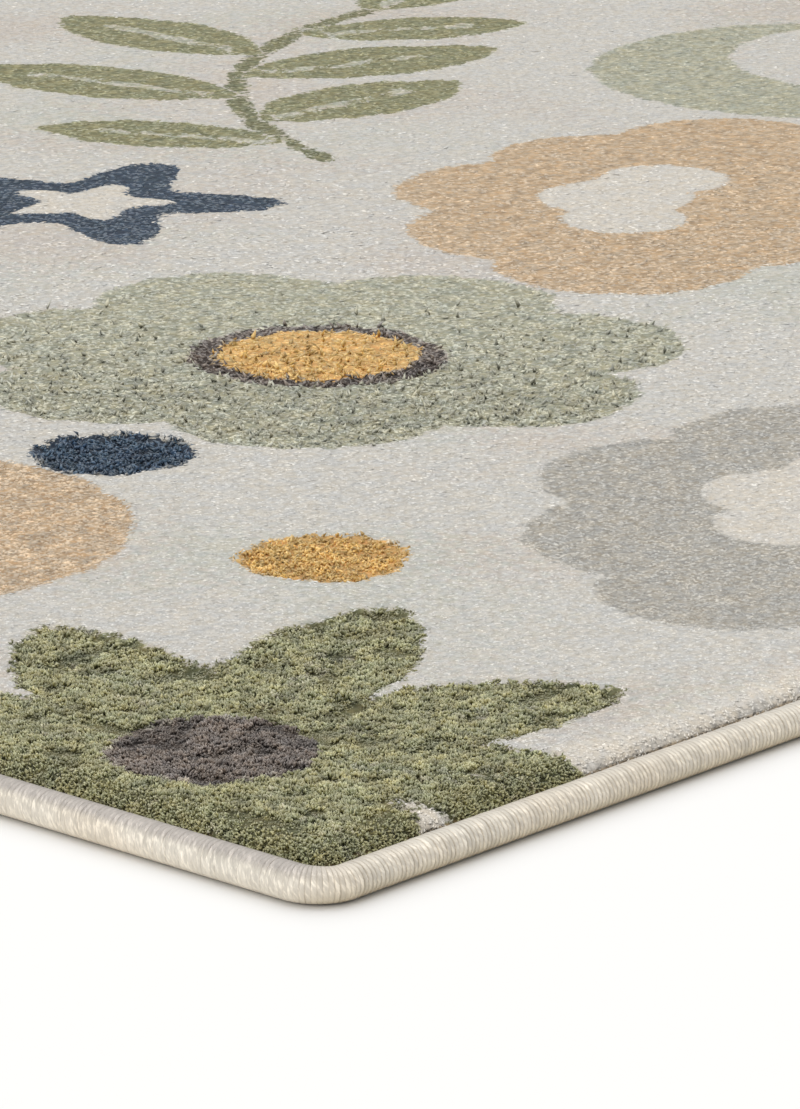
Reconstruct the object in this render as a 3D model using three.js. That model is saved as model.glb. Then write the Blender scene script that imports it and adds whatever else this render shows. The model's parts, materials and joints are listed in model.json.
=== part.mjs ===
// A nursery rug that lies flat: a woven carpet with short cut pile, and a round binding of serged yarn
// along its whole edge.
//
// Units are millimetres and +Z is up. The origin is on the floor under the middle of the rug. +X runs along
// the long side and +Y along the short side.
//
// A section through the edge is drawn with two numbers: the inset, which is the distance inwards from the
// rug's outer edge, and the height above the floor.

import * as THREE from "three";
import { mergeVertices } from "three/addons/utils/BufferGeometryUtils.js";

// Whole rug
const rugLength = 1700;
const rugWidth = 1200;
const halfLength = rugLength / 2;
const halfWidth = rugWidth / 2;
const cornerRadius = 13;

// Binding: a round section with a small flat underneath and a groove for the foundation's edge
const bindingWidth = 9;
const bindingHeightLongSide = 7.9;
const bindingHeightShortSide = 8.6;
const bindingSinkBelowFloor = 0.35;
const grooveInset = 4.5;
const grooveFloor = 0.9;
const grooveRoof = 3.5;
const bindingArcSteps = 14;
const bindingStationSpacing = 140;
const bindingCornerSteps = 8;

// Carpet: the foundation's tongue sits in the groove, with a gap all round it
const fittingGap = 0.3;
const foundationThickness = grooveRoof - grooveFloor - 2 * fittingGap;
const tongueInset = grooveInset + 0.4;
const tongueUnderside = grooveFloor + fittingGap;
const foundationTop = tongueUnderside + foundationThickness;
const undersideInset = 10.4;
const pileTop = 10.6;
const carpetStationSpacing = 50;
const carpetCornerSteps = 6;
const plateauInset = 22;

// The rim of the carpet, from the foot of its underside to the level pile. The pile leans out a little over
// the crease beside the binding and then rounds in.
const carpetRim = [
  { inset: undersideInset, height: 0 },
  { inset: bindingWidth + fittingGap, height: tongueUnderside },
  { inset: tongueInset, height: tongueUnderside },
  { inset: tongueInset, height: foundationTop },
  { inset: bindingWidth + 1.5, height: foundationTop },
  { inset: bindingWidth + 0.9, height: 5.6 },
  { inset: bindingWidth + 1.1, height: 7.6 },
  { inset: bindingWidth + 2.2, height: 9.1 },
  { inset: bindingWidth + 4.6, height: 10.1 },
  { inset: bindingWidth + 8.0, height: 10.5 },
  { inset: plateauInset, height: pileTop },
];

// The pile isn't quite level. Each row is a long, low wave across the rug.
const pileWaves = [
  { depth: 0.22, wave: 410, heading: 20, start: 0.4 },
  { depth: 0.16, wave: 260, heading: 75, start: 1.9 },
  { depth: 0.14, wave: 330, heading: 135, start: 3.1 },
];

// The edges wander inwards a little between the corners.
const edgeWander = [
  { side: "front", depth: 1.6, wave: 520, start: 0.3 },
  { side: "back", depth: 1.9, wave: 610, start: 1.7 },
  { side: "left", depth: 1.4, wave: 450, start: 2.4 },
  { side: "right", depth: 1.7, wave: 570, start: 4.0 },
];

const fullTurn = 2 * Math.PI;
const quarterTurn = Math.PI / 2;

const bindingMaterial = new THREE.MeshStandardMaterial({ color: 0xe3dccb, roughness: 0.55, metalness: 0 });
const carpetMaterial = new THREE.MeshStandardMaterial({ color: 0xd6d2c4, roughness: 0.95, metalness: 0 });

function degrees(angle) {
  return (angle * Math.PI) / 180;
}

// How far one side has wandered inwards, at a place along it. It is nothing at the corners.
function wanderAt(side, along, halfSide) {
  const row = edgeWander.find((entry) => entry.side === side);
  const share = Math.max(0, 1 - (along / halfSide) ** 2);
  return row.depth * share * (0.5 + 0.5 * Math.sin((fullTurn * along) / row.wave + row.start));
}

// Moves a point of the straight-sided rug to its place in the real one.
function wandered(x, y, z) {
  const inX = wanderAt(x < 0 ? "left" : "right", y, halfWidth);
  const inY = wanderAt(y < 0 ? "front" : "back", x, halfLength);
  return new THREE.Vector3(x - (inX * x) / halfLength, y - (inY * y) / halfWidth, z);
}

function pileLift(x, y) {
  return pileWaves.reduce((sum, row) => {
    const across = x * Math.cos(degrees(row.heading)) + y * Math.sin(degrees(row.heading));
    return sum + row.depth * Math.sin((fullTurn * across) / row.wave + row.start);
  }, 0);
}

// The stations of one lap round the rug, anticlockwise from the front left corner's arc. A station says where
// a point lies on the outline at any inset, and how far it has turned from the long side to the short side.
function lapStations(spacing, cornerSteps) {
  const corners = [
    { signX: -1, signY: -1, from: 2 * quarterTurn },
    { signX: 1, signY: -1, from: 3 * quarterTurn },
    { signX: 1, signY: 1, from: 0 },
    { signX: -1, signY: 1, from: quarterTurn },
  ];
  const stations = [];
  corners.forEach((corner, index) => {
    for (let step = 0; step <= cornerSteps; step += 1) {
      const angle = corner.from + (quarterTurn * step) / cornerSteps;
      stations.push({ ...corner, angle, slide: 0 });
    }
    const alongX = index % 2 === 0;
    const side = (alongX ? rugLength : rugWidth) - 2 * cornerRadius;
    const steps = Math.round(side / spacing);
    const angle = corner.from + quarterTurn;
    for (let step = 1; step < steps; step += 1) {
      stations.push({ ...corner, angle, slide: step / steps });
    }
  });
  return stations;
}

// A station's point at an inset. Past the corner radius the corner is sharp.
function stationPoint(station, inset) {
  const radius = Math.max(0, cornerRadius - inset);
  const centreInset = Math.max(cornerRadius, inset);
  const centreX = halfLength - centreInset;
  const centreY = halfWidth - centreInset;
  const x = station.signX * centreX + radius * Math.cos(station.angle);
  const y = station.signY * centreY + radius * Math.sin(station.angle);
  const slideX = -Math.sin(station.angle) * 2 * centreX * station.slide;
  const slideY = Math.cos(station.angle) * 2 * centreY * station.slide;
  return new THREE.Vector2(x + slideX, y + slideY);
}

// Collects triangles and drops those that have shrunk to a line at a sharp corner.
function triangleSoup() {
  const positions = [];
  const add = (a, b, c) => {
    const area = new THREE.Triangle(a, b, c).getArea();
    if (area > 1e-6) {
      [a, b, c].forEach((point) => positions.push(point.x, point.y, point.z));
    }
  };
  const addQuad = (a, b, c, d) => {
    add(a, b, c);
    add(a, c, d);
  };
  return { positions, add, addQuad };
}

function meshFrom(soup, name, material) {
  const geometry = new THREE.BufferGeometry();
  geometry.setAttribute("position", new THREE.Float32BufferAttribute(soup.positions, 3));
  const merged = mergeVertices(geometry, 1e-4);
  merged.computeVertexNormals();
  const mesh = new THREE.Mesh(merged, material);
  mesh.name = name;
  return mesh;
}

// Joins rings of points, each a lap round the rug, into a surface. The order of the rings goes inwards over
// the top, so that the faces point up.
function addRings(soup, rings) {
  for (let ring = 0; ring + 1 < rings.length; ring += 1) {
    const outer = rings[ring];
    const inner = rings[ring + 1];
    outer.forEach((point, index) => {
      const next = (index + 1) % outer.length;
      soup.addQuad(point, outer[next], inner[next], inner[index]);
    });
  }
}

// The binding's section for a run of the given height, as insets and heights. It starts under the outer side,
// goes over the top and ends under the inner side.
function bindingSection(height) {
  const halfAcross = bindingWidth / 2;
  const halfUp = (height + bindingSinkBelowFloor) / 2;
  const middle = height - halfUp;
  const angleAt = (level) => Math.asin((level - middle) / halfUp);
  const onArc = (angle) => ({
    inset: halfAcross + halfAcross * Math.cos(angle),
    height: middle + halfUp * Math.sin(angle),
  });
  const first = Math.PI - angleAt(0);
  const last = angleAt(grooveRoof);
  const outline = [];
  for (let step = 0; step <= bindingArcSteps; step += 1) {
    outline.push(onArc(first + ((last - first) * step) / bindingArcSteps));
  }
  outline.push({ inset: grooveInset, height: grooveRoof });
  outline.push({ inset: grooveInset, height: grooveFloor });
  outline.push(onArc(angleAt(grooveFloor)));
  outline.push(onArc(angleAt(0)));
  return outline;
}

// How much of a station's section is the short side's: 1 on a short side, 0 on a long one.
function shortSideShare(station) {
  return Math.abs(Math.cos(station.angle)) ** 2;
}

function makeBinding() {
  const stations = lapStations(bindingStationSpacing, bindingCornerSteps);
  const sections = stations.map((station) => {
    const share = shortSideShare(station);
    const height = THREE.MathUtils.lerp(bindingHeightLongSide, bindingHeightShortSide, share);
    return bindingSection(height);
  });
  const ringCount = sections[0].length;
  const rings = Array.from({ length: ringCount + 1 }, (_, ring) =>
    stations.map((station, index) => {
      const { inset, height } = sections[index][ring % ringCount];
      const point = stationPoint(station, inset);
      return wandered(point.x, point.y, Math.max(0, height));
    }),
  );
  const soup = triangleSoup();
  addRings(soup, rings);
  return meshFrom(soup, "edge_binding", bindingMaterial);
}

// Every lap has the same stations, so the level pile's grid lines start at the stations of the last ring.
function addPlateau(soup) {
  const columns = Math.round((rugLength - 2 * cornerRadius) / carpetStationSpacing);
  const rows = Math.round((rugWidth - 2 * cornerRadius) / carpetStationSpacing);
  const insideLength = halfLength - plateauInset;
  const insideWidth = halfWidth - plateauInset;
  const gridPoint = (column, row) => {
    const x = -insideLength + (2 * insideLength * column) / columns;
    const y = -insideWidth + (2 * insideWidth * row) / rows;
    return wandered(x, y, pileTop + pileLift(x, y));
  };
  for (let column = 0; column < columns; column += 1) {
    for (let row = 0; row < rows; row += 1) {
      soup.addQuad(
        gridPoint(column, row),
        gridPoint(column + 1, row),
        gridPoint(column + 1, row + 1),
        gridPoint(column, row + 1),
      );
    }
  }
}

function makeCarpet() {
  const stations = lapStations(carpetStationSpacing, carpetCornerSteps);
  const rings = carpetRim.map(({ inset, height }) => {
    const rise = THREE.MathUtils.clamp((height - foundationTop) / (pileTop - foundationTop), 0, 1);
    return stations.map((station) => {
      const point = stationPoint(station, inset);
      return wandered(point.x, point.y, height + rise * pileLift(point.x, point.y));
    });
  });
  const soup = triangleSoup();
  addRings(soup, rings);
  addPlateau(soup);
  const foot = rings[0];
  const faces = THREE.ShapeUtils.triangulateShape(
    foot.map((point) => new THREE.Vector2(point.x, point.y)),
    [],
  );
  faces.forEach(([a, b, c]) => soup.add(foot[a], foot[c], foot[b]));
  return meshFrom(soup, "pile_carpet", carpetMaterial);
}

const rug = new THREE.Group();
rug.name = "nursery_rug";
rug.add(makeCarpet(), makeBinding());

export default rug;
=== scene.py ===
# A nursery rug: cut pile in frieze yarn with woven colour areas, and a round edge serged in cream yarn.
#
# Lengths are written in millimetres and become metres where a mesh is made. +X runs along the rug's long
# side, +Y along its short side, and the floor is at zero. An inset is a distance inwards from the outer edge.

import json
import math
import bmesh
import bpy
import numpy as np
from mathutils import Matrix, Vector
from mathutils.bvhtree import BVHTree

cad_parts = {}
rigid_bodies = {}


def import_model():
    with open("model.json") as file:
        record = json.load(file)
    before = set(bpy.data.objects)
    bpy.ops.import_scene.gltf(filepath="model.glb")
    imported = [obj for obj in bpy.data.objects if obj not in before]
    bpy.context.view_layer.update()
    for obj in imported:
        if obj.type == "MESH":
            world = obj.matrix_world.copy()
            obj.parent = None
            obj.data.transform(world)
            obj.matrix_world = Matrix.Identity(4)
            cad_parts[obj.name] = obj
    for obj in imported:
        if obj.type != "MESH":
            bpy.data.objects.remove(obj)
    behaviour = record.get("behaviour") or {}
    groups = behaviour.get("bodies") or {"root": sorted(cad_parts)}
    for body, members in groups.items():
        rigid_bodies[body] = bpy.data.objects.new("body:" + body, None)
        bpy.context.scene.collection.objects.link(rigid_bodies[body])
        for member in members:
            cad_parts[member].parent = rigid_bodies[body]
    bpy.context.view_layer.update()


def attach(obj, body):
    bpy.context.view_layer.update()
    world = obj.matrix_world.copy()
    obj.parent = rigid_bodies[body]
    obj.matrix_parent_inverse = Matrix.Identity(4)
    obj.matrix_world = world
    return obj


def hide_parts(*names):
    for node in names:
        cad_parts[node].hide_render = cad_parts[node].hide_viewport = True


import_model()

MM = 0.001
TURN = 2 * math.pi

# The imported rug, which everything below is fitted to
HALF_LENGTH = 850.0
HALF_WIDTH = 600.0
CORNER_RADIUS = 13.0
BINDING_WIDTH = 9.0
BINDING_HEIGHT_LONG_SIDE = 7.9
BINDING_HEIGHT_SHORT_SIDE = 8.6
PILE_TOP = 10.6
FOUNDATION_TOP = 3.2
PLATEAU_INSET = 22.0

PILE_WAVES = [
    {"depth": 0.22, "wave": 410, "heading": 20, "start": 0.4},
    {"depth": 0.16, "wave": 260, "heading": 75, "start": 1.9},
    {"depth": 0.14, "wave": 330, "heading": 135, "start": 3.1},
]

EDGE_WANDER = {
    "front": {"depth": 1.6, "wave": 520, "start": 0.3},
    "back": {"depth": 1.9, "wave": 610, "start": 1.7},
    "left": {"depth": 1.4, "wave": 450, "start": 2.4},
    "right": {"depth": 1.7, "wave": 570, "start": 4.0},
}

# The photograph's camera: a long lens close to the floor, in front of the left front corner
CAMERA_PLACE = np.array([-1730.0, -1410.8, 420.6])
CAMERA_HEADING = np.array([0.745, 0.667])
CAMERA_PITCH_DOWN = math.radians(15.81)
CAMERA_LENS = 189.7
FRAME_WIDE = 800
FRAME_HIGH = 1109
SENSOR = 36.0

# Large soft lights: one above and a little behind the rug, and a weak one low on the left
LIGHTS = [
    {"name": "overhead_light", "energy": 1.95, "spread": 78, "towards": (0.28, 0.37, 0.89)},
    {"name": "left_fill", "energy": 0.92, "spread": 60, "towards": (-0.90, -0.12, 0.36)},
]
STUDIO_TINT = (1.0, 0.98, 0.94, 1)
STUDIO_STRENGTH = 0.51
FLOOR_WHITE = (0.86, 0.86, 0.86)
FLOOR_REACH = 40000.0

# Yarn colours, as light is reflected by the yarn itself
YARNS = {
    "sage": (0.360, 0.345, 0.172),
    "olive": (0.290, 0.285, 0.142),
    "pale_sage": (0.485, 0.475, 0.378),
    "sand": (0.600, 0.452, 0.308),
    "mustard": (0.760, 0.480, 0.140),
    "charcoal": (0.192, 0.148, 0.132),
    "mist": (0.480, 0.455, 0.420),
    "navy": (0.027, 0.070, 0.132),
    "white": (0.690, 0.650, 0.600),
}
GROUND_CREAM = (0.642, 0.620, 0.590)
GROUND_BLUSH = (0.618, 0.563, 0.520)
GROUND_MIST = (0.580, 0.580, 0.530)
RIM_BLUSH_AND_LIGHT = (0.775, 0.722, 0.655)
TIP_HIGHLIGHT = (0.600, 0.590, 0.480)
FOUNDATION_TAN = (0.480, 0.340, 0.180)
BINDING_CREAM = (0.680, 0.640, 0.565)
BINDING_WARM = (0.675, 0.610, 0.515)
BINDING_LOW_SHADE = (0.600, 0.505, 0.335)
BINDING_GROOVE_SHADE = (0.420, 0.360, 0.275)
BINDING_CONTACT_SHADOW = (0.120, 0.088, 0.050)
BINDING_SHADED_TOP = (0.440, 0.402, 0.370)

# Tints that mottle the yarn, and the pitch of tuft heads in the bed's own texture and of the back's weave
COOLER = (0.90, 0.985, 1.06)
WARMER = (1.06, 1.01, 0.87)
BED_HEAD = 2.1
BACK_WEAVE = 2.6


# Shared helpers

# How far noise reaches from the rug's middle, as a share of its half length and half width
NOISE_REACH = 1.1


def smooth_step(low, high, value):
    share = np.clip((value - low) / (high - low), 0, 1)
    return share * share * (3 - 2 * share)


def soft_noise(x, y, cell, seed):
    """Smooth noise from -1 to 1 over the rug, with bumps about one cell across."""
    draw = np.random.default_rng(seed)
    columns = int(2 * NOISE_REACH * HALF_LENGTH / cell) + 3
    rows = int(2 * NOISE_REACH * HALF_WIDTH / cell) + 3
    lattice = draw.uniform(-1, 1, (columns, rows))
    u = np.clip((np.asarray(x) + NOISE_REACH * HALF_LENGTH) / cell, 0, columns - 1.001)
    v = np.clip((np.asarray(y) + NOISE_REACH * HALF_WIDTH) / cell, 0, rows - 1.001)
    i = u.astype(int)
    j = v.astype(int)
    fu = smooth_step(0, 1, u - i)
    fv = smooth_step(0, 1, v - j)
    near = lattice[i, j] * (1 - fu) + lattice[i + 1, j] * fu
    far = lattice[i, j + 1] * (1 - fu) + lattice[i + 1, j + 1] * fu
    return near * (1 - fv) + far * fv


def wander_inwards(side, along, half_side):
    """How far a side's edge lies inside its straight line, which it does as a hand-guided edge does."""
    row = EDGE_WANDER[side]
    share = np.maximum(0, 1 - (along / half_side) ** 2)
    return row["depth"] * share * (0.5 + 0.5 * np.sin(TURN * along / row["wave"] + row["start"]))


def wandered(x, y):
    """Moves points of the straight-sided rug to their places in the real one."""
    in_left = wander_inwards("left", y, HALF_WIDTH)
    in_right = wander_inwards("right", y, HALF_WIDTH)
    in_front = wander_inwards("front", x, HALF_LENGTH)
    in_back = wander_inwards("back", x, HALF_LENGTH)
    in_x = np.where(x < 0, in_left, in_right)
    in_y = np.where(y < 0, in_front, in_back)
    return x - in_x * x / HALF_LENGTH, y - in_y * y / HALF_WIDTH


def pile_lift(x, y):
    """The slight unevenness of the level pile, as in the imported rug."""
    total = np.zeros_like(x)
    for row in PILE_WAVES:
        heading = math.radians(row["heading"])
        across = x * math.cos(heading) + y * math.sin(heading)
        total += row["depth"] * np.sin(TURN * across / row["wave"] + row["start"])
    return total


def inset_of(x, y):
    """How far points lie inside the rug's outer edge, with its rounded corners."""
    qx = np.abs(x) - (HALF_LENGTH - CORNER_RADIUS)
    qy = np.abs(y) - (HALF_WIDTH - CORNER_RADIUS)
    outside = np.hypot(np.maximum(qx, 0), np.maximum(qy, 0))
    inside = np.minimum(np.maximum(qx, qy), 0)
    return CORNER_RADIUS - outside - inside


def rim_blush_and_light_share(x, y):
    """How far the pile beside the binding is painted paler and warmer: partly a blush of its own, partly
    painted light against the shade on the pile's side.
    """
    return smooth_step(24, 12, inset_of(x, y))


def ahead_and_across(x, y):
    """Places on the floor as the camera sees them: how far ahead, and how far to the right."""
    from_x = x - CAMERA_PLACE[0]
    from_y = y - CAMERA_PLACE[1]
    ahead = from_x * CAMERA_HEADING[0] + from_y * CAMERA_HEADING[1]
    across = from_x * CAMERA_HEADING[1] - from_y * CAMERA_HEADING[0]
    return ahead, across


def new_mesh(name, points, faces, smooth=True):
    mesh = bpy.data.meshes.new(name)
    mesh.from_pydata((np.asarray(points) * MM).tolist(), [], faces)
    mesh.polygons.foreach_set("use_smooth", [smooth] * len(mesh.polygons))
    mesh.update()
    return mesh


def new_object(name, mesh, *materials):
    piece = bpy.data.objects.new(name, mesh)
    bpy.context.scene.collection.objects.link(piece)
    for material in materials:
        mesh.materials.append(material)
    return piece


def set_values(mesh, name, values):
    """Sets a number, or a vector, at each point of a mesh."""
    values = np.asarray(values, np.float32)
    kind, field = ("FLOAT_VECTOR", "vector") if values.ndim == 2 else ("FLOAT", "value")
    attribute = mesh.attributes.get(name) or mesh.attributes.new(name, kind, "POINT")
    attribute.data.foreach_set(field, values.ravel())


# Camera, light and floor

def make_camera():
    data = bpy.data.cameras.new("corner_view")
    data.sensor_width = SENSOR
    data.lens = CAMERA_LENS
    data.clip_start = 0.05
    data.clip_end = 90
    camera = bpy.data.objects.new("corner_view", data)
    camera.location = Vector(CAMERA_PLACE * MM)
    level = math.cos(CAMERA_PITCH_DOWN)
    gaze = Vector((*(CAMERA_HEADING * level), -math.sin(CAMERA_PITCH_DOWN)))
    camera.rotation_euler = gaze.to_track_quat("-Z", "Y").to_euler()
    bpy.context.scene.collection.objects.link(camera)
    bpy.context.scene.camera = camera


def make_light():
    world = bpy.data.worlds.new("studio")
    world.use_nodes = True
    background = world.node_tree.nodes["Background"]
    background.inputs["Color"].default_value = STUDIO_TINT
    background.inputs["Strength"].default_value = STUDIO_STRENGTH
    bpy.context.scene.world = world
    for row in LIGHTS:
        sun = bpy.data.lights.new(row["name"], "SUN")
        sun.energy = row["energy"]
        sun.angle = math.radians(row["spread"])
        lamp = bpy.data.objects.new(row["name"], sun)
        lamp.rotation_euler = Vector(row["towards"]).to_track_quat("Z", "Y").to_euler()
        bpy.context.scene.collection.objects.link(lamp)


def make_floor():
    corners = [(x * FLOOR_REACH, y * FLOOR_REACH, 0) for x, y in ((-1, -1), (1, -1), (1, 1), (-1, 1))]
    material, tree, shader = new_material("white_floor")
    feed(tree, shader, Base_Color=FLOOR_WHITE, Roughness=0.7, Specular_IOR_Level=0.2)
    floor = new_object("floor", new_mesh("floor", corners, [(0, 1, 2, 3)], smooth=False), material)
    return floor


# The woven design: rosettes, blossoms, sprigs, clouds, moons, stars and dots.
# Each shape is a signed distance in millimetres, below zero inside.

def turned(x, y, centre, turn):
    heading = math.radians(turn)
    from_x = x - centre[0]
    from_y = y - centre[1]
    along = from_x * math.cos(heading) + from_y * math.sin(heading)
    beside = from_y * math.cos(heading) - from_x * math.sin(heading)
    return along, beside


def disc(x, y, radius):
    return np.hypot(x, y) - radius


def leaf(x, y, length, width):
    """A pointed oval from the origin along x: two arcs that meet at its tips."""
    half = length / 2
    radius = (half * half + width * width / 4) / width
    drop = radius - width / 2
    return np.hypot(x - half, np.abs(y) + drop) - radius


def bar(x, y, length, thickness):
    """A round-ended line from the origin along x."""
    along = np.clip(x, 0, length)
    return np.hypot(x - along, y) - thickness / 2


def bow(x, y, radius, spread, thickness):
    """An arc about the origin, from -spread to spread degrees on either side of y."""
    angle = np.arctan2(x, y)
    limit = math.radians(spread)
    held = np.clip(angle, -limit, limit)
    return np.hypot(x - radius * np.sin(held), y - radius * np.cos(held)) - thickness / 2


def star(x, y, reach, points):
    """A soft star: a circle whose radius swells towards each point."""
    angle = np.arctan2(y, x)
    swell = np.cos(points * angle / 2) ** 2
    edge = reach * (0.50 + 0.50 * swell ** 1.5)
    return (np.hypot(x, y) - edge) * 0.75


def joined(*shapes):
    return np.minimum.reduce(shapes)


def rosette(x, y, size, yarns):
    """Eight leaves about a round heart, each with a rib."""
    layers = []
    for step in range(8):
        along, beside = turned(x, y, (0, 0), 45 * step + 9)
        long = size * (0.50 if step % 2 == 0 else 0.43)
        layers.append((yarns[step % 2], leaf(along - size * 0.03, beside, long, size * 0.19)))
        layers.append((yarns[2], bar(along - size * 0.16, beside, long * 0.42, 5.5)))
    layers.append((yarns[3], disc(x, y, size * 0.105)))
    return layers


def sprig(x, y, size, yarns):
    """A bowed stem with leaves in pairs, each leaf with a rib."""
    stem = bow(x, y + size * 0.72, size * 0.88, 34, 8)
    layers = [(yarns[1], stem)]
    leaves = [
        {"at": -0.40, "turn": 78, "long": 0.32},
        {"at": -0.28, "turn": -40, "long": 0.36},
        {"at": -0.14, "turn": 64, "long": 0.40},
        {"at": 0.00, "turn": -56, "long": 0.38},
        {"at": 0.14, "turn": 48, "long": 0.38},
        {"at": 0.28, "turn": -70, "long": 0.32},
        {"at": 0.46, "turn": -24, "long": 0.36},
    ]
    for row in leaves:
        rise = size * (0.16 - 0.60 * row["at"] ** 2)
        along, beside = turned(x, y, (row["at"] * size, rise), row["turn"])
        long = row["long"] * size
        layers.append((yarns[0], leaf(along, beside, long, long * 0.46)))
        layers.append((yarns[2], bar(along - long * 0.12, beside, long * 0.62, 5.5)))
    return layers


def cloud(x, y, size, yarns):
    """A long cloud of round lobes with a smaller cloud in it, and a row of slanting drops under it."""
    lobes = [
        {"x": -0.36, "y": -0.02, "radius": 0.15},
        {"x": -0.20, "y": 0.10, "radius": 0.17},
        {"x": 0.02, "y": 0.15, "radius": 0.18},
        {"x": 0.22, "y": 0.08, "radius": 0.17},
        {"x": 0.38, "y": -0.03, "radius": 0.14},
        {"x": 0.20, "y": -0.12, "radius": 0.15},
        {"x": 0.00, "y": -0.14, "radius": 0.15},
        {"x": -0.20, "y": -0.12, "radius": 0.15},
    ]
    body = joined(*(disc(x - row["x"] * size, y - row["y"] * size, row["radius"] * size) for row in lobes))
    body = joined(body, bar(x + size * 0.22, y, size * 0.44, size * 0.26))
    inner = joined(
        disc(x + size * 0.12, y - size * 0.02, size * 0.075),
        disc(x, y - size * 0.05, size * 0.095),
        disc(x - size * 0.12, y - size * 0.01, size * 0.080),
    )
    rain = []
    for step in range(5):
        low = 0.47 if step % 2 == 0 else 0.41
        along, beside = turned(x, y, ((0.15 * step - 0.33) * size, -low * size), 62)
        rain.append(leaf(along, beside, size * 0.085, size * 0.045))
    return [(yarns[0], body), (yarns[1], inner), (yarns[2], joined(*rain))]


def moon(x, y, size, yarns):
    """A crescent with a small star in its hollow."""
    whole = disc(x, y, size * 0.50)
    bite = disc(x - size * 0.19, y - size * 0.07, size * 0.37)
    twinkle = star(x - size * 0.23, y - size * 0.09, size * 0.17, 5)
    return [(yarns[0], np.maximum(whole, -bite)), (yarns[1], twinkle)]


def blossom(x, y, size, yarns):
    """Seven round petals about a heart with a ring."""
    petals = [disc(x, y, size * 0.24)]
    for step in range(7):
        angle = TURN * step / 7
        petals.append(disc(x - size * 0.32 * math.cos(angle), y - size * 0.32 * math.sin(angle), size * 0.18))
    heart = disc(x, y, size * 0.15)
    ring = np.abs(disc(x, y, size * 0.155)) - 3.2
    return [(yarns[0], joined(*petals)), (yarns[1], heart), (yarns[2], ring)]


def big_star(x, y, size, yarns):
    """A five-pointed star with a smaller one in its middle."""
    return [(yarns[0], star(x, y, size * 0.5, 5)), (yarns[1], star(x, y, size * 0.22, 5))]


def dot(x, y, size, yarns):
    return [(yarns[0], disc(x, y, size / 2))]


def motif(draw, x, y, turn, size, *yarns):
    """One place in the design: its shape, where it is, its turn in degrees, how wide it is, and its yarns."""
    return {"draw": draw, "at": (x, y), "turn": turn, "size": size, "yarns": yarns}


MOTIFS = [
    # Left third, from front to back
    motif(rosette, -800, -520, 13, 235, "sage", "sage", "olive", "charcoal"),
    motif(dot, -666, -432, 0, 44, "mustard"),
    motif(moon, -732, -316, 150, 160, "sand", "mustard"),
    motif(cloud, -532, -494, 20, 250, "mist", "white", "navy"),
    motif(dot, -628, -318, 0, 44, "navy"),
    motif(blossom, -505, -282, 14, 220, "pale_sage", "mustard", "charcoal"),
    motif(sprig, -700, -118, 96, 245, "olive", "sage", "pale_sage"),
    motif(dot, -560, -80, 0, 42, "mustard"),
    motif(cloud, -690, 200, -8, 260, "sand", "white", "navy"),
    motif(big_star, -500, 60, 12, 150, "charcoal", "mustard"),
    motif(dot, -795, 316, 0, 44, "navy"),
    motif(rosette, -640, 430, 20, 270, "pale_sage", "sage", "olive", "mustard"),
    motif(moon, -430, 500, 20, 150, "mist", "mustard"),
    # Middle third
    motif(sprig, -272, -480, 4, 240, "olive", "sage", "pale_sage"),
    motif(dot, -180, -545, 0, 46, "mustard"),
    motif(cloud, -276, -222, 30, 265, "sand", "white", "navy"),
    motif(big_star, -404, -86, 22, 130, "navy", "white"),
    motif(sprig, -186, -12, 38, 290, "sage", "olive", "pale_sage"),
    motif(blossom, -360, 192, 0, 210, "sand", "charcoal", "white"),
    motif(dot, -118, 286, 0, 44, "navy"),
    motif(cloud, -210, 440, 4, 260, "mist", "white", "navy"),
    motif(moon, -60, -130, -30, 180, "pale_sage", "mustard"),
    motif(rosette, -5, -384, 0, 260, "pale_sage", "sage", "olive", "mustard"),
    motif(dot, 70, -245, 0, 44, "charcoal"),
    motif(big_star, -45, 210, 6, 150, "mustard", "white"),
    motif(sprig, 60, 440, 66, 270, "olive", "sage", "pale_sage"),
    motif(cloud, 130, 30, -12, 260, "mist", "white", "navy"),
    # Right third
    motif(moon, 204, -446, 16, 170, "sand", "charcoal"),
    motif(blossom, 270, -210, 20, 210, "pale_sage", "mustard", "charcoal"),
    motif(dot, 180, 180, 0, 44, "mustard"),
    motif(rosette, 276, 296, 12, 262, "sage", "olive", "pale_sage", "charcoal"),
    motif(cloud, 446, -428, 10, 280, "pale_sage", "white", "navy"),
    motif(dot, 345, 20, 0, 44, "navy"),
    motif(sprig, 520, -182, 100, 280, "sage", "olive", "pale_sage"),
    motif(moon, 470, 128, -12, 170, "sand", "mustard"),
    motif(dot, 260, 520, 0, 44, "navy"),
    motif(cloud, 520, 440, -6, 280, "sand", "white", "navy"),
    motif(big_star, 690, -460, 10, 150, "charcoal", "mustard"),
    motif(blossom, 720, -230, 4, 200, "sand", "navy", "white"),
    motif(dot, 640, -20, 0, 44, "mustard"),
    motif(rosette, 710, 130, 30, 250, "sage", "pale_sage", "olive", "mustard"),
    motif(big_star, 760, 390, 0, 140, "navy", "white"),
    motif(dot, 760, 540, 0, 46, "charcoal"),
]


# Yarn from dark to pale: dark yarn stands in curls, and pale yarn lies in low ridges and shows less shade
PALENESS = {"sage": 0.0, "olive": 0.0, "charcoal": 0.0, "navy": 0.0, "mustard": 0.40, "pale_sage": 0.50,
            "sand": 0.60, "mist": 0.85, "white": 1.0}


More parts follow.
